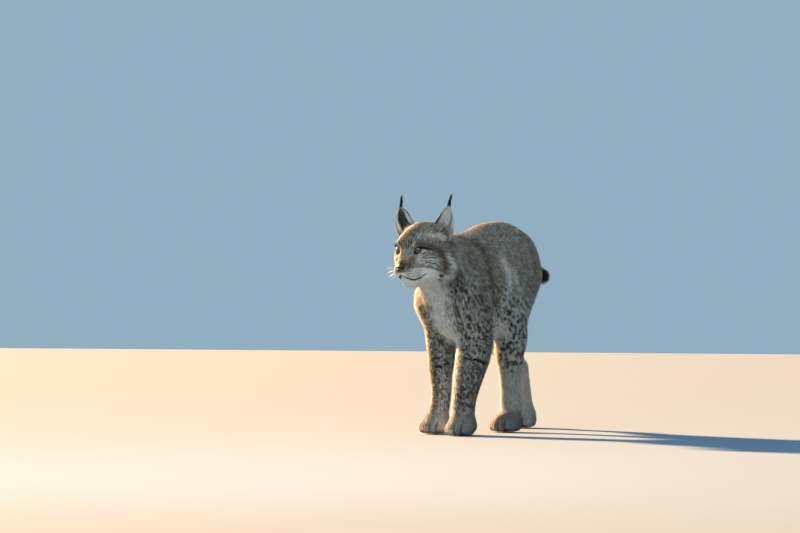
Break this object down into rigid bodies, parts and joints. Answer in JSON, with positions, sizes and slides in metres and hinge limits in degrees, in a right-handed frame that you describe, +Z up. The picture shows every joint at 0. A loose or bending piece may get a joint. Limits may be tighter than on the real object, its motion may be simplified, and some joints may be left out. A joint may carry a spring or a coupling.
{
  "type": "eurasian lynx",
  "caption": "Life-size still model of a Eurasian lynx walking, head turned a little to its right, with tufted ears, cheek ruff, spotted coat and short black-tipped tail.",
  "frame": {"origin": "on the ground plane, under the middle of the whole animal's bounding box", "axes": "+Z up, +X the animal's left side, +Y towards its tail, so it walks towards -Y"},
  "size_m": [0.2434, 0.918, 0.7037],
  "materials": {
    "grey_coat": "grizzled grey-brown fur with dark spots, white throat, chest and belly",
    "pale_coat": "pale grey fur with small dark spots",
    "brown_coat": "short plain grey-brown fur",
    "black_coat": "black fur; the ears are white inside",
    "nose_skin": "bare reddish-brown skin, slightly moist",
    "eye": "wet amber eye with a small round pupil"
  },
  "bodies": {
    "root": {"trunk": "grey_coat", "neck": "grey_coat", "head": "grey_coat", "nose": "nose_skin", "tail": "black_coat", "ear_left": "black_coat", "ear_right": "black_coat", "eye_left": "eye", "eye_right": "eye", "foreleg_left": "grey_coat", "foreleg_right": "grey_coat", "forepaw_left": "pale_coat", "forepaw_right": "pale_coat", "hindleg_left": "grey_coat", "hindleg_right": "grey_coat", "hindfoot_left": "brown_coat", "hindfoot_right": "brown_coat", "hindpaw_left": "pale_coat", "hindpaw_right": "pale_coat"}
  },
  "joints": []
}
